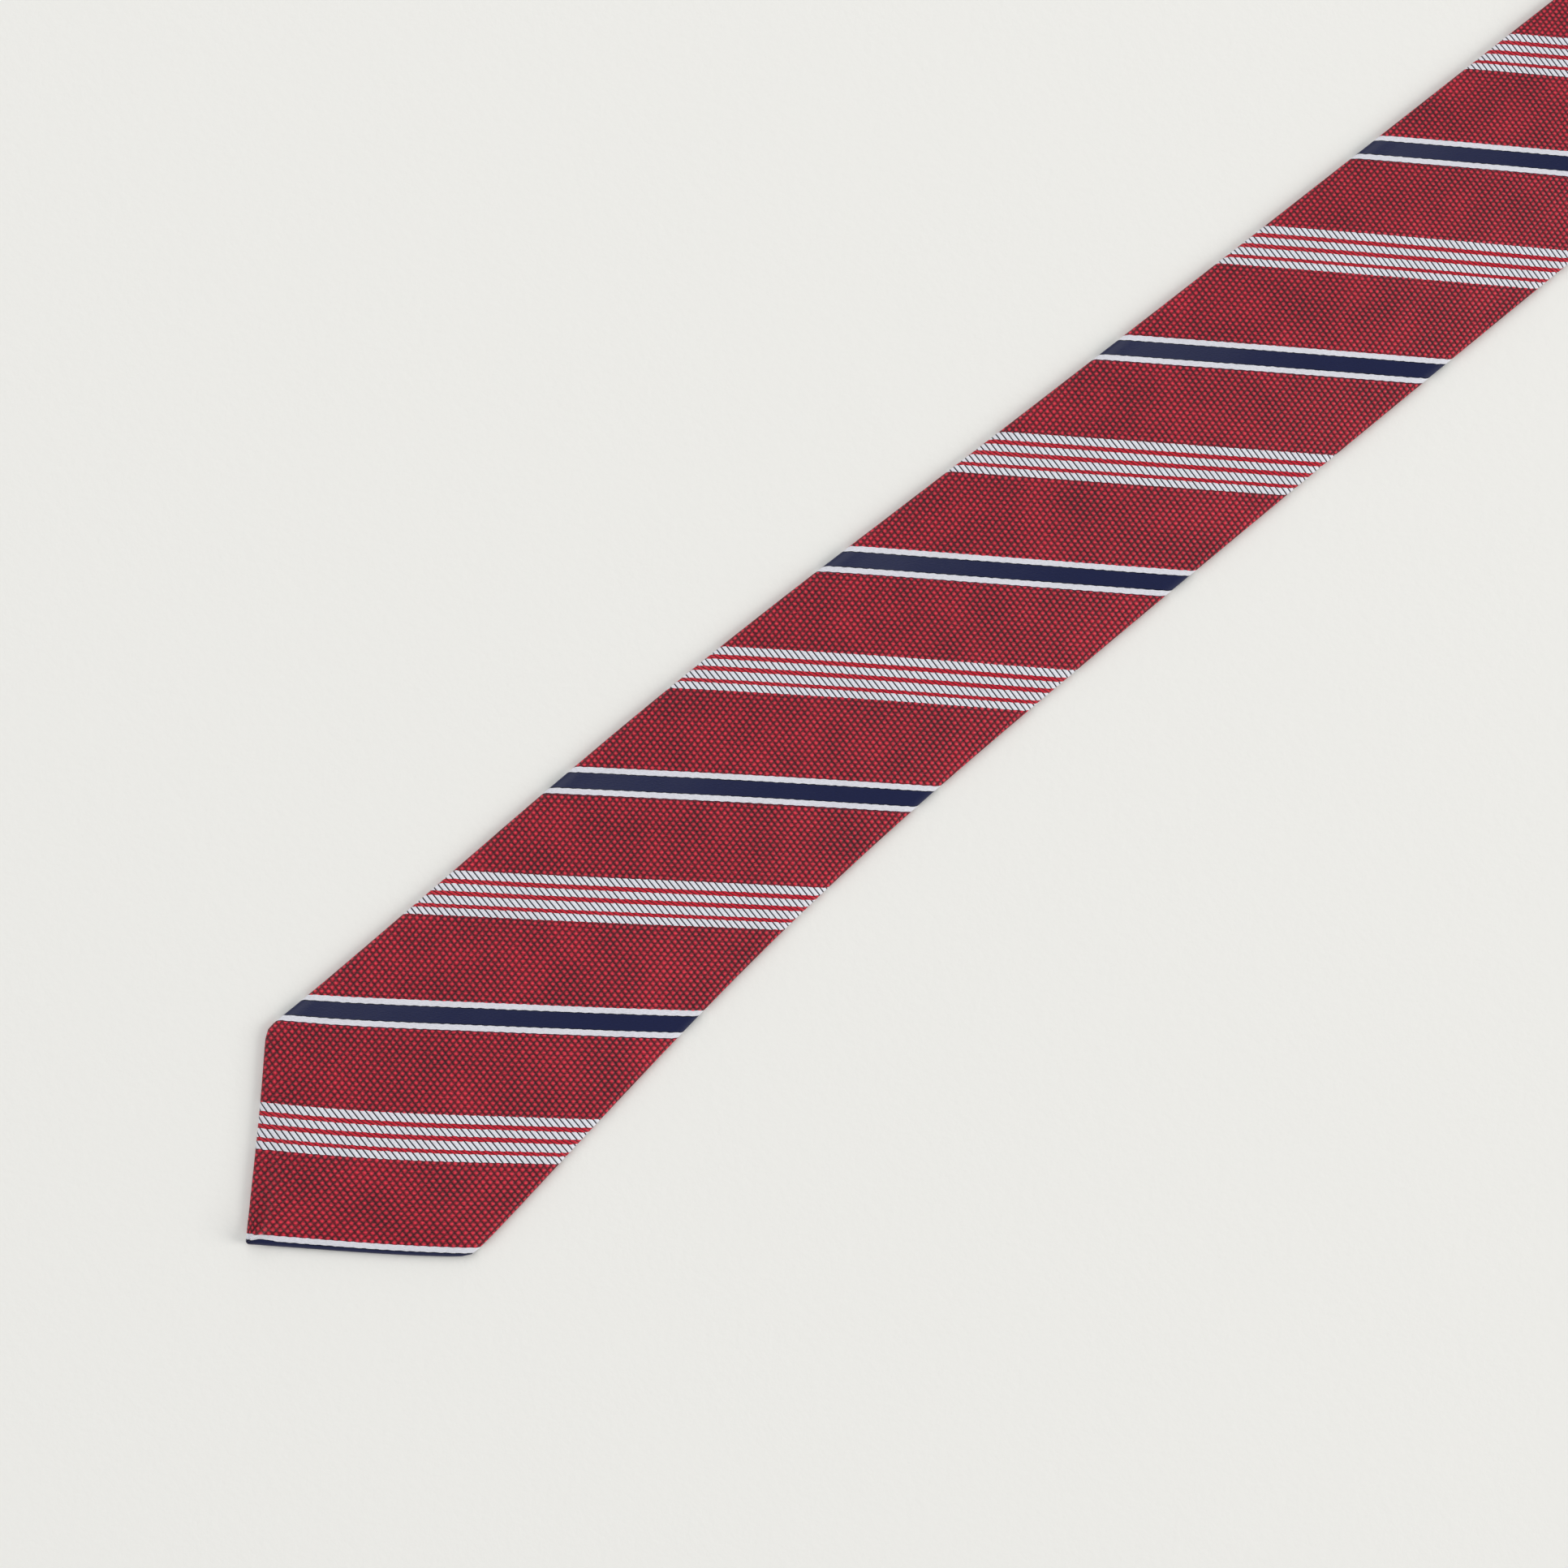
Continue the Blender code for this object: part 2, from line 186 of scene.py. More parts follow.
def backHeight(s, v):
    depth = tie["hollow"] * ease(*tie["hollowStart"], s) * (1 - ease(*tie["hollowStop"], s))
    flat = np.maximum(halfWidth(s) - thickness / 2, 0.001)
    inner, outer = tie["hollowSides"]
    return depth * (1 - ease(inner, outer, np.abs(v) / flat))


# Signed distance of a side flap's edge from the middle: a narrow hem round the point, then a
# straight closing line to where the flaps meet, then past the middle by the overlap.
def flapEdge(s):
    atBlade = s < tie["length"] / 2
    corner = np.where(atBlade, tie["bladeWidth"], tie["tailWidth"]) / 2
    tack = np.where(atBlade, *tie["tacks"])
    d = fromEnd(s)
    margin = halfWidth(s) - tie["hem"] * edgeSlant(s)
    closing = (corner - tie["hem"]) * (tack - d) / (tack - corner)
    before, after = cloth["crossing"]
    crossed = ease(tack - before, tack + after, d)
    least = cloth["parted"] - (cloth["overlap"] + cloth["parted"]) * crossed
    return np.minimum(np.maximum(np.minimum(margin, closing), least), cloth["mostFlap"] * flatHalf(s))


# How far the flaps lie over each other: 0 where they are apart, 1 where they overlap in full.
def overlapping(s):
    return ease(0, cloth["overlap"], cloth["beside"][0] - flapEdge(s))


# Columns round a section, as (kind, share): flap from its edge to the roll, roll from foot to top,
# then the front to its middle.
def halfColumns(counts):
    flap = [("flap", x) for x in np.linspace(0, 1, counts["flap"] + 1)]
    roll = [("roll", x) for x in np.linspace(1, 0, counts["roll"] + 1)[1:]]
    front = [("front", x) for x in np.linspace(1, 0, counts["front"] + 1)[1:]]
    return flap + roll + front


# One column of the wrapped cloth at stations s: its v, z and flat place (u, s) before wrapping.
# Flat places past the outline are measured square to it, so that stripes turn with the roll.
def wrappedColumn(s, kind, share, side):
    flat, slant, slope = flatHalf(s), edgeSlant(s), outlineSlope(s)
    high = rollHeight(s)
    middle = (thickness - cloth["crown"]) / 2
    outV, outS = 1 / slant, -slope / slant
    fill = high / middle
    if kind == "front":
        v = share * flat
        z = middle + high + cloth["crown"] * (1 - share**2) * fill
        z = z + cloth["unevenness"] * fill * unevenness(s, side * v) * (1 - share**4)
        return v, z, side * v, s
    if kind == "roll":
        angle = share * math.pi
        v = flat + (halfWidth(s) - flat) * math.sin(angle)
        z = middle + high * math.cos(angle)
        off = (v - flat) / slant
        spread = float(rollArc(angle)) - off
        return v, z, side * (v + outV * spread), s + outS * spread
    edge = flapEdge(s)
    v = edge + (flat - edge) * share
    t = (flat - v) / slant
    z = middle - high + backHeight(s, v)
    if side < 0:
        # The right flap lies over the left one from where they meet, and comes down beside it.
        lift = cloth["thick"] + cloth["airGap"]
        near, far = cloth["beside"]
        z = z + lift * ease(-cloth["overlap"] - far, -cloth["overlap"] - near, -v) * overlapping(s)
    spread = float(rollArc(math.pi)) + 2 * t
    return v, z, side * (v + outV * spread), s + outS * spread


def addObject(name, points, faces, material, uv=None, smooth=True):
    mesh = bpy.data.meshes.new(name)
    mesh.from_pydata(points.reshape(-1, 3).tolist(), [], faces.tolist())
    mesh.materials.append(material)
    if uv is not None:
        layer = mesh.uv_layers.new(name="cloth")
        corners = np.zeros(len(mesh.loops), np.int32)
        mesh.loops.foreach_get("vertex_index", corners)
        layer.data.foreach_set("uv", uv.reshape(-1, 2)[corners].astype(np.float32).ravel())
    mesh.polygons.foreach_set("use_smooth", np.full(len(mesh.polygons), smooth))
    mesh.update()
    made = bpy.data.objects.new(name, mesh)
    bpy.context.scene.collection.objects.link(made)
    return made


def gridFaces(rows, columns, closed=False):
    i, j = np.indices((rows - 1, columns if closed else columns - 1))
    k = (j + 1) % columns
    here, above = i * columns, (i + 1) * columns
    return np.stack([here + j, above + j, above + k, here + k], axis=-1).reshape(-1, 4)


def thicken(made, depth, offset=-1):
    wall = made.modifiers.new("cloth", "SOLIDIFY")
    wall.thickness = depth
    wall.offset = offset
    return made


# One node with its settings: a socket given as an input is linked, a number or colour is set, and
# None leaves the input as it is. A colour ramp also takes its stops. Returns the output numbered out.
def addNode(tree, kind, *inputs, out=0, stops=(), stepped=False, **settings):
    made = tree.nodes.new("ShaderNode" + kind)
    for key, value in settings.items():
        setattr(made, key, value)
    if stepped:
        made.color_ramp.interpolation = "CONSTANT"
    for i, (place, colour) in enumerate(stops):
        stop = made.color_ramp.elements[i] if i < 2 else made.color_ramp.elements.new(place)
        stop.position = place
        stop.color = colour
    for socket, value in zip(made.inputs, inputs):
        if isinstance(value, bpy.types.NodeSocket):
            tree.links.new(value, socket)
        elif value is not None:
            socket.default_value = value
    return made.outputs[out]


def srgb(text):
    parts = [int(text[i : i + 2], 16) / 255 for i in (0, 2, 4)]
    return (*[c / 12.92 if c <= 0.04045 else ((c + 0.055) / 1.055) ** 2.4 for c in parts], 1)


# A new material with its even values set. Returns it with its node tree and its shader's inputs.
def newMaterial(name, settings):
    made = bpy.data.materials.new(name)
    made.use_nodes = True
    shader = made.node_tree.nodes["Principled BSDF"]
    for key, value in settings.items():
        shader.inputs[key].default_value = value
    return made, made.node_tree, shader.inputs


inMillimetres = (1000, 1000, 1000)
unturned = (0, 0, 0)
onBias = (0, 0, math.radians(45))
beforeColours = [None] * 5  # a Mix node's inputs between its share and its two colours

jacquard = {
    # What repeats square to the stripes, from one navy stripe to the next: millimetres, colour and
    # kind of weave.
    "bands": [
        # the thin dark bands beside the white ones are painted shade along the edges where one weave meets
        # the next
        (0.12, "4c1428", "plain"),
        (1.28, "dcdce2", "plain"),
        (0.24, "0c1022", "satin"),
        (3.72, "121a40", "satin"),
        (0.26, "0c1022", "satin"),
        (1.38, "dcdce2", "plain"),
        (20.77, "000000", "cell"),
        (1.85, "e2e2e8", "rope"),
        (1.10, "c41a2e", "twill"),
        (1.95, "e2e2e8", "rope"),
        (1.12, "c41a2e", "twill"),
        (2.00, "e2e2e8", "rope"),
        (1.15, "c41a2e", "twill"),
        (2.03, "e2e2e8", "rope"),
        (20.26, "000000", "cell"),
    ],
    "firstBand": 53.75,  # millimetres from the hem line through the blade's point
    "scallop": (2.66, 0.05),  # waves of a band's edges: pitch and height in millimetres
    "wander": 0.20,  # how far its edges stray besides, in millimetres
    "cell": (1.69, 2.10),  # along and across the stripes
    # from painted shade in the gaps between cells to a painted highlight on the middle of each
    "cellShadeRamp": ((0.00, "3c0c16"), (0.16, "6c101e"), (0.48, "a81a2e"), (0.95, "e63448")),
    "ropePitch": 1.66,  # from strand to strand
    "ropeLean": 0.90,  # how far a strand runs along its rope for each step across it
    "twillLean": 1.80,
    "strandGap": (0.66, 0.84),  # from a strand's middle, at 0, to the next, at 1: where the dark line begins
    "ropeLine": "120e20",
    "twillLine": "4c0c16",
    "yarns": (-52, (1.3, 3.6, 1)),  # slant of the fine yarns in degrees, and their number in a millimetre
    "patches": 0.09,  # of uneven dye, in a millimetre
    "relief": 0.00022,
    "satinRoughness": 0.34,
    "roughness": 0.40,
}
kinds = {
    "cell": (1, 0, 0, 1),
    "rope": (0, 1, 0, 1),
    "satin": (0, 0, 1, 1),
    "twill": (0, 1, 1, 1),
    "plain": (0, 0, 0, 1),
}


# Silk-look jacquard, woven: plump red cells with painted shade in the gaps and painted highlights
# on their middles, smooth navy satin edged with white, and white ropes of twill between thin red
# ones. The floats give a soft sheen that grows on the rolls.
def jacquardCloth(name, shift):
    silk = {
        "Sheen Weight": 0.05,
        "Sheen Roughness": 0.45,
        "Sheen Tint": srgb("ffd8dc"),
        "Specular IOR Level": 0.3,
    }
    made, tree, shader = newMaterial(name, silk)
    flat = addNode(tree, "UVMap", uv_map="cloth")
    turned = addNode(tree, "Mapping", flat, (0, shift, 0), onBias, inMillimetres)
    along, across, _ = addNode(tree, "SeparateXYZ", turned).node.outputs

    # Which band a place lies in, as a share of the repeat. The edges are wavy: each float ends a
    # little earlier or later.
    bands = jacquard["bands"]
    repeat = sum(width for width, _, _ in bands)
    starts = np.cumsum([0] + [width for width, _, _ in bands[:-1]]) / repeat
    pitch, reach = jacquard["scallop"]
    wander = jacquard["wander"]
    wave = addNode(tree, "Math", along, 2 * math.pi / pitch, operation="MULTIPLY")
    wave = addNode(tree, "Math", wave, operation="SINE")
    stray = addNode(tree, "TexNoise", turned, None, 1.1, 2.0, 0.5)
    band = addNode(tree, "Math", wave, reach, across, operation="MULTIPLY_ADD")
    band = addNode(tree, "Math", stray, wander, band, operation="MULTIPLY_ADD")
    band = addNode(tree, "Math", band, jacquard["firstBand"] + wander / 2, operation="SUBTRACT")
    band = addNode(tree, "Math", band, repeat, 0.0, operation="WRAP")
    band = addNode(tree, "Math", band, repeat, operation="DIVIDE")
    colours = [(start, srgb(text)) for start, (_, text, _) in zip(starts, bands)]
    weaves = [(start, kinds[weave]) for start, (_, _, weave) in zip(starts, bands)]
    bandColour = addNode(tree, "ValToRGB", band, stops=colours, stepped=True)
    kind = addNode(tree, "ValToRGB", band, stops=weaves, stepped=True)
    isCell, isLeaning, isSmooth = addNode(tree, "SeparateColor", kind).node.outputs

    # Fine yarns, and the slight unevenness of dye and tension.
    slant, density = jacquard["yarns"]
    yarns = addNode(tree, "Mapping", turned, (0, 0, 0), (0, 0, math.radians(slant)), density)
    yarns = addNode(tree, "TexNoise", yarns, None, 1.0, 2.0, 0.6)
    uneven = addNode(tree, "Math", yarns, 0.5, operation="SUBTRACT")
    patches = addNode(tree, "TexNoise", turned, None, jacquard["patches"], 3.0, 0.55)
    patches = addNode(tree, "Math", patches, 0.5, operation="SUBTRACT")

    # Cells: |cos + cos| / 2 has a mound at each float and straight slanting gaps between them, and
    # the rows stand out a little. The colour ramp over it paints shade into the gaps and a highlight
    # on each mound's middle.
    cellAlong, cellAcross = jacquard["cell"]
    one = addNode(tree, "Math", along, 2 * math.pi / cellAlong, operation="MULTIPLY")
    one = addNode(tree, "Math", one, operation="COSINE")
    two = addNode(tree, "Math", across, 2 * math.pi / cellAcross, operation="MULTIPLY")
    two = addNode(tree, "Math", two, operation="COSINE")
    mound = addNode(tree, "Math", one, two, operation="ADD")
    mound = addNode(tree, "Math", mound, operation="ABSOLUTE")
    mound = addNode(tree, "Math", mound, 0.5, operation="MULTIPLY")
    rows = addNode(tree, "Math", two, two, operation="MULTIPLY")
    rows = addNode(tree, "Math", rows, 0.4, 0.6, operation="MULTIPLY_ADD")
    star = addNode(tree, "Math", mound, 1.1, operation="POWER")
    star = addNode(tree, "Math", star, rows, operation="MULTIPLY")
    star = addNode(tree, "Math", uneven, 1.0, star, operation="MULTIPLY_ADD")
    star = addNode(tree, "Math", patches, 0.35, star, operation="MULTIPLY_ADD")
    cellShadeRamp = [(place, srgb(text)) for place, text in jacquard["cellShadeRamp"]]
    cellShadedColour = addNode(tree, "ValToRGB", star, stops=cellShadeRamp)

    # Leaning strands of the ropes: distance from a strand's middle, 0 to 1.
    more = jacquard["twillLean"] - jacquard["ropeLean"]
    lean = addNode(tree, "Math", isSmooth, more, jacquard["ropeLean"], operation="MULTIPLY_ADD")
    strand = addNode(tree, "Math", across, lean, operation="MULTIPLY")
    strand = addNode(tree, "Math", strand, along, operation="SUBTRACT")
    strand = addNode(tree, "Math", strand, jacquard["ropePitch"], operation="DIVIDE")
    strand = addNode(tree, "Math", strand, operation="FRACT")
    strand = addNode(tree, "Math", strand, 0.5, operation="SUBTRACT")
    strand = addNode(tree, "Math", strand, operation="ABSOLUTE")
    strand = addNode(tree, "Math", strand, 2.0, operation="MULTIPLY")
    gap = (*jacquard["strandGap"], 0.0, 1.0)
    gap = addNode(tree, "MapRange", strand, *gap, interpolation_type="SMOOTHSTEP")
    gap = addNode(tree, "Math", gap, isLeaning, operation="MULTIPLY")
    lines = (srgb(jacquard["ropeLine"]), srgb(jacquard["twillLine"]))
    lineColour = addNode(tree, "Mix", isSmooth, *beforeColours, *lines, out=2, data_type="RGBA")

    colour = (bandColour, lineColour)
    colour = addNode(tree, "Mix", gap, *beforeColours, *colour, out=2, data_type="RGBA")
    colour = (colour, cellShadedColour)
    colour = addNode(tree, "Mix", isCell, *beforeColours, *colour, out=2, data_type="RGBA")
    bright = addNode(tree, "Math", uneven, 0.5, 1.0, operation="MULTIPLY_ADD")
    bright = addNode(tree, "Math", patches, 0.16, bright, operation="MULTIPLY_ADD")
    colour = addNode(tree, "HueSaturation", 0.5, 1.0, bright, 1.0, colour)
    tree.links.new(colour, shader["Base Color"])

    # Relief: mounds for the cells, round strands for the ropes, level satin.
    height = addNode(tree, "Math", mound, isCell, operation="MULTIPLY")
    strand = addNode(tree, "Math", strand, 3.0, operation="POWER")
    strand = addNode(tree, "Math", 1.0, strand, operation="SUBTRACT")
    strand = addNode(tree, "Math", strand, isLeaning, operation="MULTIPLY")
    height = addNode(tree, "Math", strand, 0.8, height, operation="MULTIPLY_ADD")
    level = addNode(tree, "Math", 1.0, isCell, operation="SUBTRACT")
    height = addNode(tree, "Math", level, 0.25, height, operation="MULTIPLY_ADD")
    height = addNode(tree, "Math", uneven, 0.25, height, operation="MULTIPLY_ADD")
    relief = addNode(tree, "Bump", 1.0, jacquard["relief"], None, height)
    tree.links.new(relief, shader["Normal"])
    smoother = jacquard["satinRoughness"] - jacquard["roughness"]
    rough = addNode(tree, "Math", isSmooth, smoother, jacquard["roughness"], operation="MULTIPLY_ADD")
    tree.links.new(rough, shader["Roughness"])
    return made


# Cloth cut on the bias is pulled a little out of true: at each station, how much it is drawn in
# along the tie, and by how many degrees its grain turns.
drawn = {
    "stations": (0.0, 0.15, 0.30, 0.44, 0.58),
    "along": (0.944, 1.015, 1.036, 1.150, 1.0),
    "turnStations": (0.0, 0.10, 0.20, 0.30, 0.44, 0.58),
    "turn": (0.2, 1.3, -1.8, -2.3, -1.1, 0.0),
    "hemPull": 0.0009,  # the hem through the blade's point draws the stripes up this much
    "hemReach": 0.020,
}


# Flat place (u, w) on the drawn cloth: both the rate and the turn are added up along the tie.
def drawnPlace(u, w):
    fine = np.linspace(-0.1, tie["length"] + 0.1, 3361)
    rate = np.interp(fine, drawn["stations"], drawn["along"])
    turn = np.radians(np.interp(fine, drawn["turnStations"], drawn["turn"]))
    step = fine[1] - fine[0]
    start = np.searchsorted(fine, 0.0)
    lengths = np.cumsum(rate) * step
    sideways = np.cumsum(turn) * step
    lengths = lengths - lengths[start]
    sideways = sideways - sideways[start]
    here = np.interp(w, fine, rate)
    across = u * here + np.interp(w, fine, sideways)
    along = np.interp(w, fine, lengths) - u * here * np.interp(w, fine, turn)
    pull = drawn["hemPull"] * (1 - ease(0, drawn["hemReach"], (u + w) / math.sqrt(2))) / math.sqrt(2)
    return across - pull, along - pull


# Width, length and area of a grid laid out flat; the area adds up its quads by the cross product of
# their diagonals.
def cutSize(flat):
    one = flat[1:, 1:] - flat[:-1, :-1]
    two = flat[1:, :-1] - flat[:-1, 1:]
    area = np.abs(one[..., 0] * two[..., 1] - one[..., 1] * two[..., 0]).sum() / 2
    width, length = np.ptp(flat.reshape(-1, 2), axis=0)
    return (float(width), float(length)), float(area)


seam = {
    "gap": 0.00006,  # half the gap between two panels
    "skewReach": 0.1,  # how far from a seam the rows of points still slant with it
    "dipWidth": 0.0011,
    "dip": 0.00022,
    "closeSteps": np.array([0.0003, 0.0006, 0.0009, 0.0012]),
}


# A panel of wrapped cloth between two rows of stations. An end at a piecing seam runs at 45 degrees
# across the cloth, and its last millimetre dips where the allowance turns in.
def wrappedPanel(name, stations, seamStart, seamStop, counts, material):
    right = [(kind, share, -1) for kind, share in halfColumns(counts)]
    left = [(kind, share, 1) for kind, share in halfColumns(counts)[-2::-1]]
    first, last = stations[0], stations[-1]
    points, flats, cuts = [], [], []
    for kind, share, side in right + left:
        s = stations.copy()
        dip = 0 * s
        for end, other, sewn in ((first, last, seamStart), (last, first, seamStop)):
            if sewn:
                shift = float(wrappedColumn(np.array([end]), kind, share, side)[2][0])
                near = seam["skewReach"] * np.sign(other - end)
                s = s + shift * np.clip(1 - (stations - end) / near, 0, 1)
                dip = np.maximum(dip, 1 - np.abs(stations - end) / seam["dipWidth"])
        v, z, u, w = wrappedColumn(s, kind, share, side)
        inwards = seam["dip"] * np.clip(dip, 0, 1) ** 2
        high = thickness / 2
        z = z + (high - z) / high * inwards
        v = v - inwards * (v > flatHalf(s) * 0.99)
        x, y = layOut(s, side * v)
        points.append(np.stack([x, y, z + cadBox[0].z], axis=-1))
        flats.append(np.stack(drawnPlace(u, w), axis=-1))
        cuts.append(np.stack([u, w], axis=-1))
    points = np.stack(points, axis=1)
    made = addObject(name, points, gridFaces(*points.shape[:2]), material, np.stack(flats, axis=1))
    return thicken(made, cloth["thick"]), *cutSize(np.stack(cuts, axis=1))


# Stations close together at the seams.
def stationsBetween(start, stop, step, seamStart, seamStop):
    parts = [np.linspace(start, stop, int((stop - start) / step) + 1)]
    if seamStart:
        parts.append(start + seam["closeSteps"])
    if seamStop:
        parts.append(stop - seam["closeSteps"])
    return np.unique(np.concatenate(parts))


# Stations set closer where the cloth bends at a fold, the same for the cloth and for the wool in it.
def closeAtFolds(stations):
    reach = cloth["bend"] + 0.001
    for fold in tie["folds"]:
        if stations[0] < fold < stations[-1]:
            away = stations[np.abs(stations - fold) > reach]
            stations = np.sort(np.concatenate([away, fold + np.linspace(-reach, reach, 25)]))
    return stations


def foldBetween(made, jointName, first, second):
    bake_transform(made)


print("panels")
seamBlade, seamTail = tie["seams"]
nearPoint = np.array([0.0005, 0.0009, 0.0014, 0.002, 0.0028, 0.0036, 0.0046, 0.0058, 0.007])
fromPoint = 0.0085
step = 0.002
counts = {"flap": 16, "roll": 12, "front": 14}
start, stop = fromPoint, seamBlade - seam["gap"]
bladeStations = np.concatenate([nearPoint, stationsBetween(start, stop, step, False, True)])
neckStations = stationsBetween(seamBlade + seam["gap"], seamTail - seam["gap"], step, True, True)
start, stop = seamTail + seam["gap"], tie["length"] - fromPoint
tailStations = stationsBetween(start, stop, step, True, False)
tailStations = np.concatenate([tailStations, tie["length"] - nearPoint[::-1]])
folds = {
    # the fold that each length of the tie crosses, and the bodies on its two sides
    "blade": ("blade_fold", "blade_end", "blade_middle"),
    "neck": ("neck_fold", "blade_middle", "tail_middle"),
    "tail": ("tail_fold", "tail_middle", "tail_end"),
}
panels = {
    # stations, seam at the start and at the end, shift of the stripes in millimetres, nodes
    "blade": (bladeStations, False, True, 0.0, ("blade_panel_lower", "blade_panel_upper")),
    "neck": (neckStations, True, True, 17.0, ("neck_panel_front", "neck_panel_rear")),
    "tail": (tailStations, True, False, -9.0, ("tail_panel_upper", "tail_panel_lower")),
}
for part, (stations, seamStart, seamStop, shift, nodes) in panels.items():
    name = part + "_panel"
    weave = jacquardCloth("stripedJacquard_" + name, shift)
    made, flat, area = wrappedPanel(name, closeAtFolds(stations), seamStart, seamStop, counts, weave)
    foldBetween(made, *folds[part])
    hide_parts(*nodes)


# Wool interlining: cream, brushed and hairy, so it has no gloss at all.
def brushedWool():
    dull = {"Roughness": 0.95, "Sheen Weight": 0.3, "Specular IOR Level": 0.2}
    made, tree, shader = newMaterial("brushedWool", dull)
    place = addNode(tree, "TexCoord", out=3)
    hairs = addNode(tree, "Mapping", place, (0, 0, 0), (0, 0, 0.7), (1800, 260, 900))
    hairs = addNode(tree, "TexNoise", hairs, None, 1.0, 3.0, 0.7)
    soft = addNode(tree, "TexNoise", place, None, 240.0, 2.0, 0.5)
    shade = addNode(tree, "Math", soft, 0.5, hairs, operation="MULTIPLY_ADD")
    shade = addNode(tree, "MapRange", shade, 0.5, 1.0, 0.0, 1.0)
    creams = (srgb("b9ac94"), srgb("e6dcc8"))
    colour = addNode(tree, "Mix", shade, *beforeColours, *creams, out=2, data_type="RGBA")
    tree.links.new(colour, shader["Base Color"])
    relief = addNode(tree, "Bump", 0.8, 0.0002, None, hairs)
    tree.links.new(relief, shader["Normal"])
    return made


# Lining satin: deep red, fine warp threads side by side, smooth and a little glossy.
def liningSatin():
    glossy = {"Roughness": 0.34, "Specular IOR Level": 0.5, "Sheen Weight": 0.1}
    made, tree, shader = newMaterial("liningSatin", glossy)
    flat = addNode(tree, "UVMap", uv_map="cloth")
    turned = addNode(tree, "Mapping", flat, (0, 0, 0), onBias, inMillimetres)
    inRows = {"wave_type": "BANDS", "bands_direction": "X"}
    threads = addNode(tree, "TexWave", turned, 0.9, 0.6, 2.0, 1.5, **inRows)
    floats = addNode(tree, "Mapping", turned, (0, 0, 0), unturned, (3.2, 0.35, 1))
    floats = addNode(tree, "TexNoise", floats, None, 1.0, 2.0, 0.5)
    shade = addNode(tree, "Math", threads, 0.35, floats, operation="MULTIPLY_ADD")
    shade = addNode(tree, "MapRange", shade, 0.3, 1.0, 0.0, 1.0)
    reds = (srgb("4a0c18"), srgb("7e1a2a"))
    colour = addNode(tree, "Mix", shade, *beforeColours, *reds, out=2, data_type="RGBA")
    tree.links.new(colour, shader["Base Color"])
    relief = addNode(tree, "Bump", 0.5, 0.00008, None, shade)
    tree.links.new(relief, shader["Normal"])
    return made


# Woven label: a ground of fine ribs crossed by yarns, with a thin border line set in from its edges.
def wovenLabel(name, ground, line, size, border):
    made, tree, shader = newMaterial(name, {"Roughness": 0.5, "Sheen Weight": 0.1})
    ribPitch, yarnPitch, lineWidth = 0.45, 0.30, 0.6
    flat = addNode(tree, "UVMap", uv_map="cloth")
    inner = addNode(tree, "Mapping", flat, (0, 0, 0), unturned, inMillimetres)
    across, along, _ = addNode(tree, "SeparateXYZ", inner).node.outputs
    fromEdges = []
    for side, length in ((across, size[0]), (along, size[1])):
        fromMiddle = addNode(tree, "Math", side, operation="ABSOLUTE")
        fromEdges.append(addNode(tree, "Math", length * 500, fromMiddle, operation="SUBTRACT"))
    fromLine = addNode(tree, "Math", *fromEdges, operation="MINIMUM")
    fromLine = addNode(tree, "Math", fromLine, border, operation="SUBTRACT")
    fromLine = addNode(tree, "Math", fromLine, operation="ABSOLUTE")
    onLine = addNode(tree, "Math", fromLine, lineWidth / 2, operation="LESS_THAN")
    ribs = addNode(tree, "Math", along, 2 * math.pi / ribPitch, operation="MULTIPLY")
    ribs = addNode(tree, "Math", ribs, operation="SINE")
    yarns = addNode(tree, "Math", across, 2 * math.pi / yarnPitch, operation="MULTIPLY")
    yarns = addNode(tree, "Math", yarns, operation="SINE")
    weave = addNode(tree, "Math", ribs, yarns, operation="MULTIPLY")
    grain = addNode(tree, "TexNoise", inner, None, 1.4, 2.0, 0.6)
    shade = addNode(tree, "Math", grain, 0.3, 0.85, operation="MULTIPLY_ADD")
    shade = addNode(tree, "Math", weave, 0.12, shade, operation="MULTIPLY_ADD")
    colours = (srgb(ground), srgb(line))
    colour = addNode(tree, "Mix", onLine, *beforeColours, *colours, out=2, data_type="RGBA")
    colour = addNode(tree, "HueSaturation", 0.5, 1.0, shade, 1.0, colour)
    tree.links.new(colour, shader["Base Color"])
    relief = addNode(tree, "Bump", 0.6, 0.0001, None, weave)
    tree.links.new(relief, shader["Normal"])
    return made


# Sewing thread: two plies twisted together; the light they catch in slanting lines is painted into the
# colour as lighter and darker bands, and raised by a bump as well.
def sewingThread(name, text):
    made, tree, shader = newMaterial(name, {"Roughness": 0.45, "Sheen Weight": 0.15})
    twist = (0, 0, math.radians(35))
    flat = addNode(tree, "UVMap", uv_map="cloth")
    turned = addNode(tree, "Mapping", flat, (0, 0, 0), twist, inMillimetres)
    inRows = {"wave_type": "BANDS", "bands_direction": "Y"}
    plies = addNode(tree, "TexWave", turned, 0.55, 0.4, 1.0, 1.0, **inRows)
    # painted light and shade of the twisted plies
    shade = addNode(tree, "Math", plies, 0.5, 0.7, operation="MULTIPLY_ADD")
    colour = addNode(tree, "HueSaturation", 0.5, 1.0, shade, 1.0, srgb(text))
    tree.links.new(colour, shader["Base Color"])
    relief = addNode(tree, "Bump", 0.7, 0.0001, None, plies)
    tree.links.new(relief, shader["Normal"])
    return made


def finished(made, slot, *nodes):
    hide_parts(*nodes)


interlining = {
    "inset": 0.00058,  # from the cloth's outer face to the wool
    "overFlaps": 0.00062,  # more where one side flap lies over the other
    "flapsReach": (0.0065, 0.0100),  # from the middle: where that ends
    "overLining": 0.00042,  # more over a lining
    "pastTack": 0.008,  # linings reach this far past where the flaps meet
    "liningFade": (0.001, 0.009),  # past a lining's end: where the wool comes down
    "least": (0.0003, 0.0002),  # half its height, and the reach of its sides, near the points
    "step": 0.004,
}


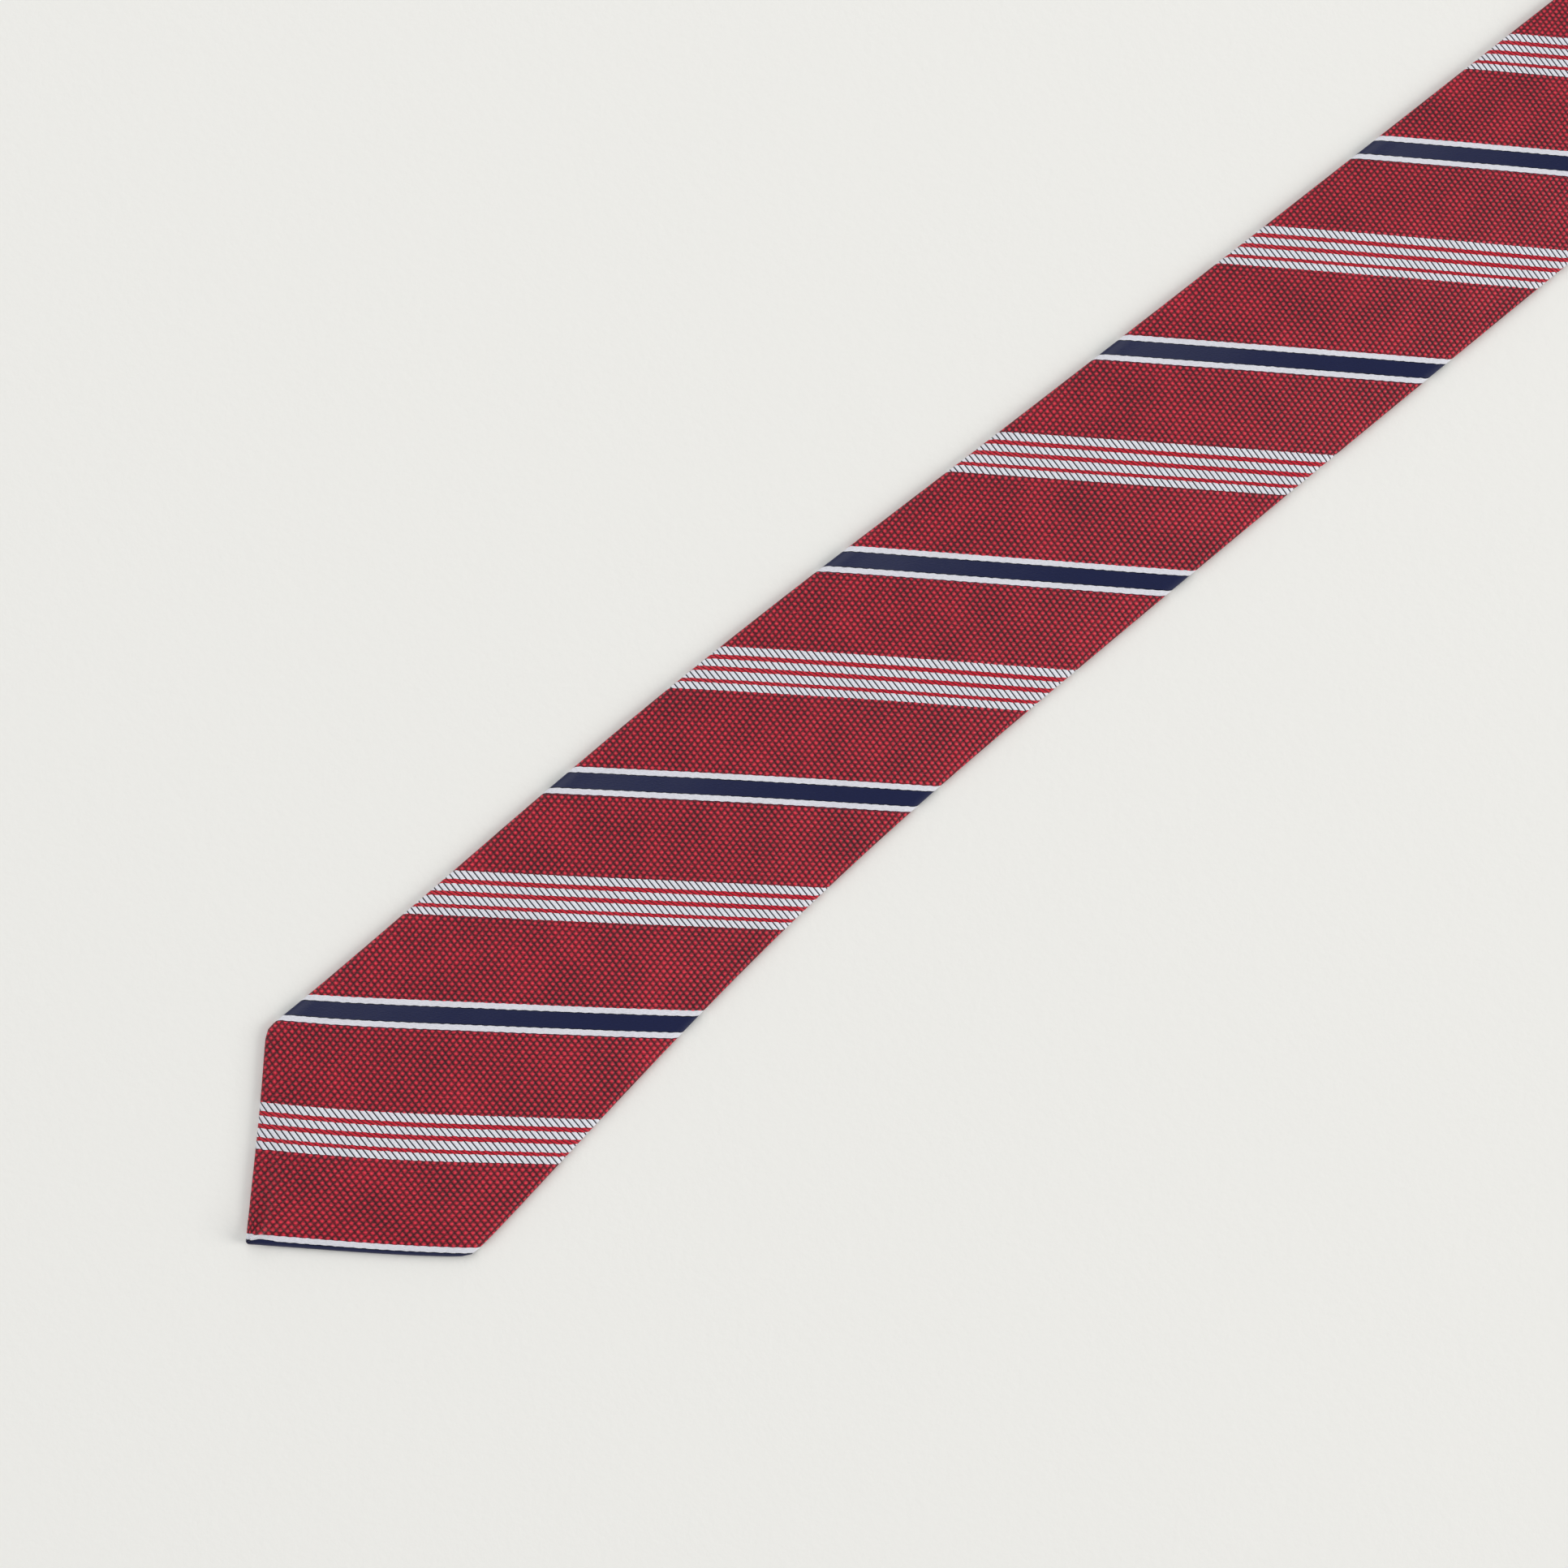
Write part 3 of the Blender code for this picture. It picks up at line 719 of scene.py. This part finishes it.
# Wool core: a closed section inside the wrapped cloth. Its sides are half ellipses set in from the
# cloth's, its top follows the front and its bottom lies on the flaps.
def woolSection(s, columns=14, rolls=8):
    flat = flatHalf(s)
    inset = interlining["inset"]
    middle = (thickness - cloth["crown"]) / 2
    leastHigh, leastReach = interlining["least"]
    high = np.maximum(rollHeight(s) - inset, leastHigh)
    reach = np.maximum(halfWidth(s) - flat - inset * edgeSlant(s), leastReach)
    liningEnd = np.where(s < tie["length"] / 2, *tie["tacks"]) + interlining["pastTack"]
    near, far = interlining["liningFade"]
    lined = 1 - ease(liningEnd + near, liningEnd + far, fromEnd(s))
    overFlaps = interlining["overFlaps"] * overlapping(s)
    rings = []
    for share in np.linspace(1, -1, 2 * columns + 1):
        top = middle + high + cloth["crown"] * (1 - share**2) * high / middle
        rings.append((share * flat, top))
    for angle in np.linspace(0, math.pi, rolls + 1)[1:-1]:
        rings.append((-flat - reach * math.sin(angle), middle + high * math.cos(angle)))
    for share in np.linspace(-1, 1, 2 * columns + 1):
        v = share * flat
        over = overFlaps * (1 - ease(*interlining["flapsReach"], np.abs(v)))
        low = middle - high + backHeight(s, v) + np.maximum(over, interlining["overLining"] * lined)
        rings.append((v, low))
    for angle in np.linspace(math.pi, 0, rolls + 1)[1:-1]:
        rings.append((flat + reach * math.sin(angle), middle + high * math.cos(angle)))
    return np.stack([np.stack([v, z], axis=-1) for v, z in rings], axis=1)


# A closed tube through rings of (x, y, z), its two ends filled with one face each.
def closedTube(name, rings, material, uv=None):
    rows, columns = rings.shape[:2]
    faces = gridFaces(rows, columns, True)
    made = addObject(name, rings, faces, material, uv)
    shape = bmesh.new()
    shape.from_mesh(made.data)
    shape.verts.ensure_lookup_table()
    for row in (0, rows - 1):
        shape.faces.new([shape.verts[row * columns + i] for i in range(columns)])
    bmesh.ops.recalc_face_normals(shape, faces=shape.faces)
    shape.to_mesh(made.data)
    shape.free()
    for face in made.data.polygons[-2:]:
        face.use_smooth = False
    return made


print("interlining")
woolCloth = brushedWool()
coreEnd = 0.006
coreGap = 0.0006
cores = {
    # from, to, nodes
    "blade": (coreEnd, seamBlade, ("interlining_blade_end", "interlining_blade_middle")),
    "neck": (seamBlade + coreGap, seamTail - coreGap, ("interlining_tail_middle",)),
    "tail": (seamTail, tie["length"] - coreEnd, ("interlining_tail_end",)),
}
for part, (start, stop, nodes) in cores.items():
    s = closeAtFolds(np.linspace(start, stop, int((stop - start) / interlining["step"])))
    section = woolSection(s)
    x, y = layOut(s[:, None], section[..., 0])
    rings = np.stack([x, y, section[..., 1] + cadBox[0].z], axis=-1)
    made = closedTube(part + "_core", rings, woolCloth)
    foldBetween(made, *folds[part])
    finished(made, "wool_interlining", *nodes)
    widths = 2 * (halfWidth(s) - interlining["inset"])
    area = float(((widths[1:] + widths[:-1]) / 2 * np.diff(s)).sum())
    flat = (float(widths.max()), stop - start)

print("linings")
liningCloth = liningSatin()
lining = {
    "fromPoint": 0.0050,
    "inset": 0.0024,
    "height": 0.00066,
    "thick": 0.00022,
    "wave": 0.00007,
}
for name, body, atBlade in (("blade_lining", "blade_end", True), ("tail_lining", "tail_end", False)):
    tack = tie["tacks"][0 if atBlade else 1]
    d = np.linspace(lining["fromPoint"], tack + interlining["pastTack"], 70)
    s = d if atBlade else tie["length"] - d[::-1]
    share = np.linspace(1, -1, 49)
    v = share[None, :] * (halfWidth(s) - lining["inset"] * edgeSlant(s))[:, None]
    z = lining["height"] + lining["wave"] * unevenness(s[:, None] * 3, v * 2) * (1 - share**4) + cadBox[0].z
    x, y = layOut(s[:, None], v)
    points = np.stack([x, y, z], axis=-1)
    flat = np.stack([v, np.broadcast_to(s[:, None], v.shape)], axis=-1)
    made = thicken(addObject(name, points, gridFaces(*v.shape), liningCloth, flat), lining["thick"], 0)
    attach(made, body)
    finished(made, "tipping_satin", "blade_tipping" if atBlade else "tail_tipping")
    size, area = cutSize(flat)


# Thread along a path: an oval tube whose thickness swells with each stitch, (1 - depth) + depth *
# sqrt(|sin(pi d / pitch)|) with d the distance along it.
def threadAlong(name, path, width, height, pitch, depth, material, ring=8):
    ahead = np.gradient(path, axis=0)
    ahead = ahead / np.linalg.norm(ahead, axis=1, keepdims=True)
    distance = np.concatenate([[0], np.cumsum(np.linalg.norm(np.diff(path, axis=0), axis=1))])
    swell = (1 - depth) + depth * np.sqrt(np.abs(np.sin(math.pi * distance / pitch)))
    side = np.stack([-ahead[:, 1], ahead[:, 0], 0 * ahead[:, 0]], axis=-1)
    angle = np.linspace(0, 2 * math.pi, ring, endpoint=False)
    up = np.array([0, 0, 1.0])
    sideways = side[:, None] * (np.cos(angle) * width / 2)[None, :, None]
    upwards = up * (np.sin(angle) * height / 2)[None, :, None]
    points = path[:, None] + swell[:, None, None] * (sideways + upwards)
    around = np.broadcast_to(angle * (width + height) / 4, points.shape[:2])
    along = np.broadcast_to(distance[:, None], points.shape[:2])
    return closedTube(name, points, material, np.stack([around, along], axis=-1))


# Points on the back: stations s and distances v from the middle, at a height above the table.
def onBack(s, v, z):
    s, v, z = np.broadcast_arrays(s, v, z)
    x, y = layOut(s, v)
    return np.stack([x, y, z + cadBox[0].z], axis=-1)


print("threads")
redThread = sewingThread("redThread", "8c1626")
navyThread = sewingThread("navyThread", "182040")
whiteThread = sewingThread("whiteThread", "dedede")
stitches = {
    # width, height, pitch, and how much thinner the thread gets where it goes under
    "slip": (0.00034, 0.00026, 0.0062, 0.72),
    "barTack": (0.0013, 0.00046, 0.00042, 0.35),
    "loopTack": (0.0013, 0.00042, 0.00040, 0.30),
    "maker": (0.00044, 0.00022, 0.0024, 0.88),
    "care": (0.00044, 0.00022, 0.0022, 0.88),
}
slip = {
    "rise": 0.00026,
    "step": 0.0007,
    "under": 0.00030,  # how far in from the flap's edge it runs
    "fromTack": 0.004,  # how far past where the flaps meet it starts
    "fromSeam": 0.002,
}
tackBlade, tackTail = tie["tacks"]
firstStitch = tackBlade + slip["fromTack"]
lastStitch = tie["length"] - tackTail - slip["fromTack"]
clear = slip["fromSeam"]
threads = {
    # from, to, nodes
    "blade": (firstStitch, seamBlade - clear, ("slip_stitch_blade_end", "slip_stitch_blade_middle")),
    "neck": (seamBlade + clear, seamTail - clear, ("slip_stitch_tail_middle",)),
    "tail": (seamTail + clear, lastStitch, ("slip_stitch_tail_end",)),
}
for part, (start, stop, nodes) in threads.items():
    s = np.linspace(start, stop, int((stop - start) / slip["step"]))
    v = flapEdge(s) - slip["under"]
    path = onBack(s, v, slip["rise"] + backHeight(s, v))
    made = threadAlong(part + "_slip_stitch", path, *stitches["slip"], redThread)
    foldBetween(made, *folds[part])
    finished(made, "red_thread", *nodes)

tackDrop = 0.006  # from where the flaps meet towards the point
tackRise = 0.00030
tackInset = 0.00012  # its ends, from the flap's edges
for name, body, tack, s in (
    ("blade_tack", "blade_end", "blade_bar_tack", tackBlade - tackDrop),
    ("tail_tack", "tail_end", "tail_bar_tack", tie["length"] - tackTail + tackDrop),
):
    reach = float(flapEdge(np.array(s))) - tackInset
    v = np.linspace(-reach, reach, 121)
    made = threadAlong(name, onBack(s, v, tackRise), *stitches["barTack"], redThread)
    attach(made, body)
    finished(made, "red_thread", tack)

print("loop and labels")
loop = {
    "from": 0.209,
    "to": 0.221,
    "reach": 0.021,
    "low": 0.00065,  # height of its middle over the table where it is free
    "high": 0.00100,  # and where it is sewn down
    "drawnUp": (0.013, 0.019),  # where it rises from one to the other, from the middle
    "half": 0.00034,  # half its own height
    "thick": 0.00024,
    "unevenness": 0.00004,
    "squareness": (0.35, 0.6),  # of its section, along and up: 1 is round
    "tackInset": (0.0012, 0.0017),  # from its edges and from its ends
    "tackRise": 0.00040,
}


# The loop: a flat tube of the tie's own cloth across the back, its ends drawn up to the back.
def keeperLoop(material):
    rows, columns = 61, 40
    v = np.linspace(-loop["reach"], loop["reach"], rows)[:, None]
    angle = np.linspace(0, 2 * math.pi, columns, endpoint=False)[None, :]
    squareAlong, squareUp = loop["squareness"]
    halfLong = (loop["to"] - loop["from"]) / 2
    along = halfLong * np.sign(np.cos(angle)) * np.abs(np.cos(angle)) ** squareAlong
    s = (loop["from"] + loop["to"]) / 2 - along
    rise = ease(*loop["drawnUp"], np.abs(v))
    z = loop["low"] + (loop["high"] - loop["low"]) * rise
    z = z - loop["half"] * np.sign(np.sin(angle)) * np.abs(np.sin(angle)) ** squareUp
    z = z + loop["unevenness"] * unevenness(s * 6, v * 3)
    points = onBack(s + 0 * v, v + 0 * s, z)
    section = np.stack([s[0], z[0]], axis=-1)
    around = np.concatenate([[0], np.cumsum(np.linalg.norm(np.diff(section, axis=0), axis=1))])[None, :]
    flat = np.stack([v + 0 * around, around + 0 * v], axis=-1)
    made = addObject("keeper_loop_cloth", points, gridFaces(rows, columns, True), material, flat)
    shape = bmesh.new()
    shape.from_mesh(made.data)
    bmesh.ops.recalc_face_normals(shape, faces=shape.faces)
    shape.to_mesh(made.data)
    shape.free()
    return thicken(made, loop["thick"])


made = keeperLoop(jacquardCloth("stripedJacquard_loop", shift=6.0))
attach(made, "blade_end")
finished(made, "striped_jacquard", "keeper_loop")
flat = (2 * (loop["to"] - loop["from"]), 2 * loop["reach"])
insetAlong, insetAcross = loop["tackInset"]
for side, sign in (("left", 1), ("right", -1)):
    s = np.linspace(loop["from"] + insetAlong, loop["to"] - insetAlong, 141)
    path = onBack(s, sign * (loop["reach"] - insetAcross), loop["tackRise"])
    made = threadAlong("loop_tack_" + side, path, *stitches["loopTack"], navyThread)
    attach(made, "blade_end")
    finished(made, "navy_thread", "keeper_tack_" + side)


labels = {
    # from, to, half width, and how far the middle is puffed between the stitches
    "maker": (0.145, 0.171, 0.020, 0.00016),
    "care": (0.114, 0.142, 0.009, 0.00012),
    # and for both: height over the table of the cloth and of its stitches
    "rise": 0.00104,
    "thick": 0.00024,
    "stitchRise": 0.00078,
    "stitchInset": (0.00125, 0.001),  # from the edge it runs along, and from the two it ends at
}


# A label: a thin sheet lying on the back.
def label(name, start, stop, reach, puff, material):
    rows, columns = 41, 61
    s = np.linspace(start, stop, rows)[:, None]
    v = np.linspace(reach, -reach, columns)[None, :]
    along = (2 * s - start - stop) / (stop - start)
    middling = (1 - along**4) * (1 - (v / reach) ** 4)
    z = labels["rise"] - puff * middling * (0.7 + 0.3 * unevenness(s * 4, v * 3))
    points = onBack(s + 0 * v, v + 0 * s, z)
    flat = np.stack([v + 0 * s, s - (start + stop) / 2 + 0 * v], axis=-1)
    return thicken(addObject(name, points, gridFaces(rows, columns), material, flat), labels["thick"], 0)


edgeInset, endInset = labels["stitchInset"]
start, stop, reach, puff = labels["maker"]
makerCloth = wovenLabel("damaskLabel", "141a3c", "c8ccd8", (2 * reach, stop - start), border=3.2)
made = label("maker_label_cloth", start, stop, reach, puff, makerCloth)
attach(made, "blade_end")
finished(made, "woven_label", "maker_label")
for side, sign in (("left", 1), ("right", -1)):
    s = np.linspace(start + endInset, stop - endInset, 161)
    path = onBack(s, sign * (reach - edgeInset), labels["stitchRise"])
    made = threadAlong("maker_stitches_" + side, path, *stitches["maker"], whiteThread)
    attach(made, "blade_end")
    finished(made, "white_thread", "maker_label_stitch_" + side)

start, stop, reach, puff = labels["care"]
careCloth = wovenLabel("tapeLabel", "dcdad4", "b8b6b0", (2 * reach, stop - start), border=1.2)
made = label("care_label_cloth", start, stop, reach, puff, careCloth)
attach(made, "blade_end")
finished(made, "care_label_tape", "care_label")
for end, s in (("lower", start + edgeInset), ("upper", stop - edgeInset)):
    v = np.linspace(endInset - reach, reach - endInset, 121)
    path = onBack(s, v, labels["stitchRise"])
    made = threadAlong("care_stitches_" + end, path, *stitches["care"], redThread)
    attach(made, "blade_end")
    finished(made, "red_thread", "care_label_stitch_" + end)


# The table: pale plaster-white paper, and soft studio light.
def tableTop():
    made, tree, shader = newMaterial("whitePaper", {"Base Color": srgb("f2f1eb"), "Roughness": 0.85})
    place = addNode(tree, "TexCoord", out=3)
    grain = addNode(tree, "TexNoise", place, None, 420.0, 3.0, 0.55)
    slow = addNode(tree, "TexNoise", place, None, 60.0, 2.0, 0.5)
    height = addNode(tree, "Math", slow, 0.6, grain, operation="MULTIPLY_ADD")
    relief = addNode(tree, "Bump", 0.25, 0.0004, None, height)
    tree.links.new(relief, shader["Normal"])
    mesh = bpy.data.meshes.new("table")
    far = 20.0
    low = cadBox[0].z
    corners = [(-far, -far, low), (far, -far, low), (far, far, low), (-far, far, low)]
    mesh.from_pydata(corners, [], [(0, 1, 2, 3)])
    mesh.materials.append(made)
    table = bpy.data.objects.new("table", mesh)
    bpy.context.scene.collection.objects.link(table)


lights = {
    # right of the picture's middle, above it, height; size, watts, colour
    "key": ((5.8, -0.8, 3.0), 3.5, 219, (1, 0.985, 0.97)),
    "fill": ((-2.0, 3.2, 5.0), 6.0, 173, (0.98, 0.985, 1)),
}
room = {
    # its walls are nearer and paler than its ceiling, so light comes in low all round
    "colour": (0.96, 0.97, 1, 1),
    "overhead": 0.35,
    "lowerDown": 0.76,  # how much more comes level with the table
}
view = {
    "turn": 38.7,  # degrees from the picture's right to the tie's length
    "point": (-0.1330, -0.1136),  # the blade's point, right of and above the picture's middle
    "across": 0.3864,
    "height": 1.6,
}


def addCamera():
    turn = math.radians(view["turn"])
    right, up = view["point"]
    tipX, tipY = layOut(np.array(0.0), np.array(0.0))
    x = float(tipX) - right * math.cos(turn) - up * math.sin(turn)
    y = float(tipY) + right * math.sin(turn) - up * math.cos(turn)
    data = bpy.data.cameras.new("camera")
    data.sensor_width = 36
    data.lens = data.sensor_width * (view["height"] - thickness) / view["across"]
    made = bpy.data.objects.new("camera", data)
    made.location = (x, y, view["height"])
    made.rotation_euler = (0, 0, -turn)
    bpy.context.scene.collection.objects.link(made)
    bpy.context.scene.camera = made
    return x, y, turn


def addLight(name, place, target, size, watts, colour):
    data = bpy.data.lights.new(name, "AREA")
    data.size = size
    data.energy = watts
    data.color = colour
    made = bpy.data.objects.new(name, data)
    made.location = place
    direction = Vector(target) - Vector(place)
    made.rotation_euler = direction.to_track_quat("-Z", "Y").to_euler()
    bpy.context.scene.collection.objects.link(made)


print("table, camera and lights")
tableTop()
lookX, lookY, turn = addCamera()
picRight = (math.cos(turn), -math.sin(turn))
picUp = (math.sin(turn), math.cos(turn))


def fromPicture(right, up, high):
    x = lookX + picRight[0] * right + picUp[0] * up
    y = lookY + picRight[1] * right + picUp[1] * up
    return (x, y, high)


middle = (lookX, lookY, 0)
for name, (place, size, watts, colour) in lights.items():
    addLight(name, fromPicture(*place), middle, size, watts, colour)
world = bpy.data.worlds.new("studio")
world.use_nodes = True
sky = world.node_tree
sky.nodes["Background"].inputs[0].default_value = room["colour"]
upwards = addNode(sky, "SeparateXYZ", addNode(sky, "TexCoord"), out=2)
low = addNode(sky, "Math", 1.0, upwards, operation="SUBTRACT")
low = addNode(sky, "Math", low, 2.0, operation="POWER")
low = addNode(sky, "Math", low, room["lowerDown"], room["overhead"], operation="MULTIPLY_ADD")
sky.links.new(low, sky.nodes["Background"].inputs[1])
bpy.context.scene.world = world
bpy.context.scene.view_settings.view_transform = "Standard"
